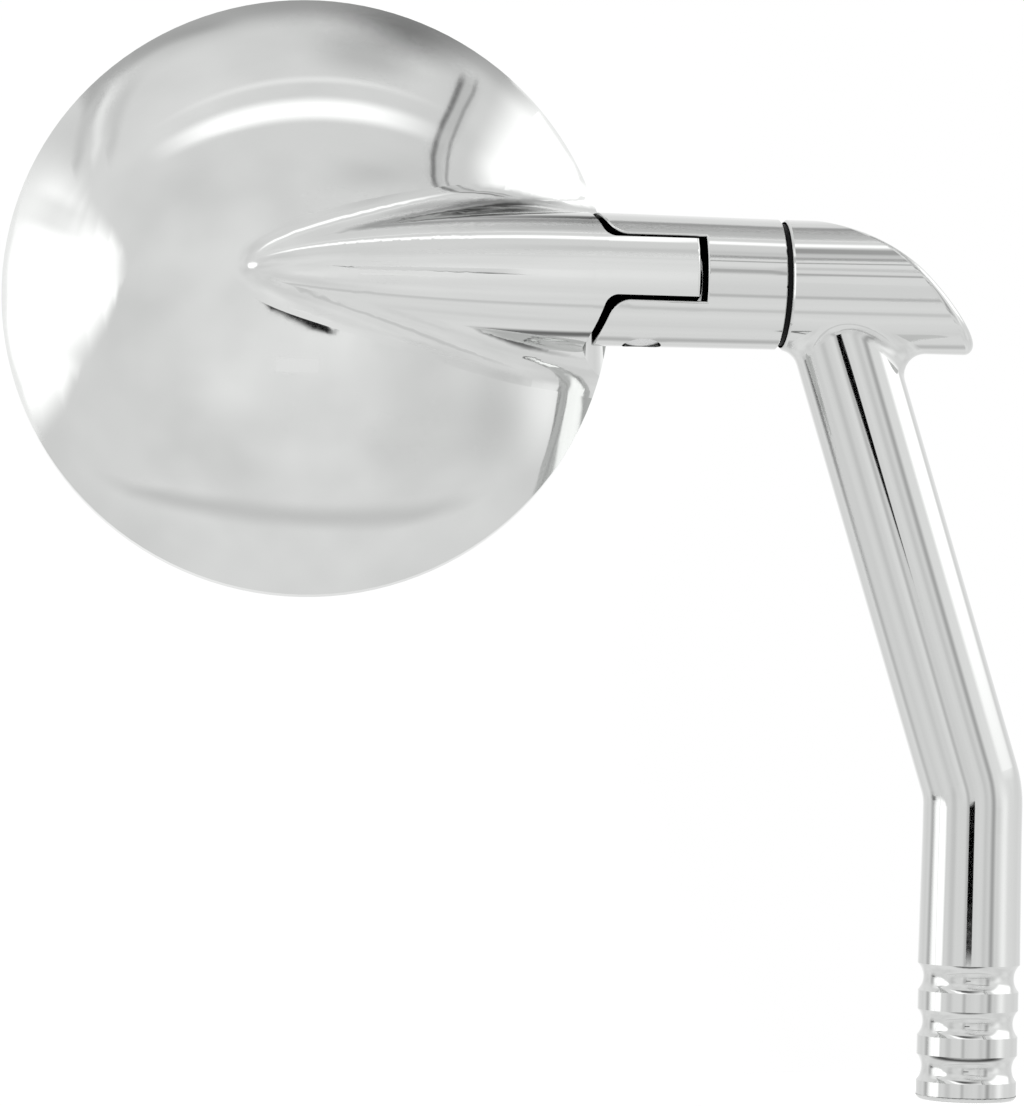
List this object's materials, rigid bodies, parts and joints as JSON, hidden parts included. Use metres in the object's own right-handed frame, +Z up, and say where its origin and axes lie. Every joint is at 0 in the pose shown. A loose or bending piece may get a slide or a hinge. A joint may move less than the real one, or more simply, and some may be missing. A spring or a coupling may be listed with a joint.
{
  "type": "motorcycle mirror",
  "caption": "Round chrome motorcycle mirror: domed shell with a bullet fairing, hinged in a swivelling knuckle on a bent stem with a grooved foot.",
  "frame": {"origin": "centre of the stem's foot, at the mouth of its tapped hole", "axes": "+Z up the lower stem, +X along the arm away from the mirror head, +Y from the domed back towards the glass"},
  "size_m": [0.1702, 0.0419, 0.1807],
  "materials": {
    "chrome": "polished show chrome on aluminium",
    "black_acetal": "black acetal, turned",
    "steel": "stainless steel, machined",
    "spring_steel": "dark spring steel",
    "bronze": "sintered bronze",
    "mirror_glass": "silvered convex glass",
    "foam_tape": "black acrylic foam tape",
    "rubber_bead": "black rubber bead"
  },
  "bodies": {
    "stem": {"stem_elbow": "chrome", "swivel_friction_washer": "black_acetal", "swivel_screw": "steel", "swivel_flat_washer": "steel", "swivel_spring_washers": "spring_steel"},
    "knuckle": {"knuckle": "chrome", "pivot_pin": "steel", "upper_pivot_washer": "black_acetal", "lower_pivot_washer": "black_acetal"},
    "head": {"mirror_shell": "chrome", "pivot_bush": "bronze", "mirror_glass": "mirror_glass", "glass_tape": "foam_tape", "glass_bead": "rubber_bead"}
  },
  "joints": [
    {"name": "knuckle_swivel", "type": "hinge", "parent": "stem", "child": "knuckle", "pos_m": [-0.03462, 0, 0.1341], "axis": [1, 0, 0], "continuous": true},
    {"name": "head_pivot", "type": "hinge", "parent": "knuckle", "child": "head", "pos_m": [-0.05782, 0, 0.1341], "axis": [0, 0.1736, 0.9848], "range_deg": [-10, 5]}
  ]
}
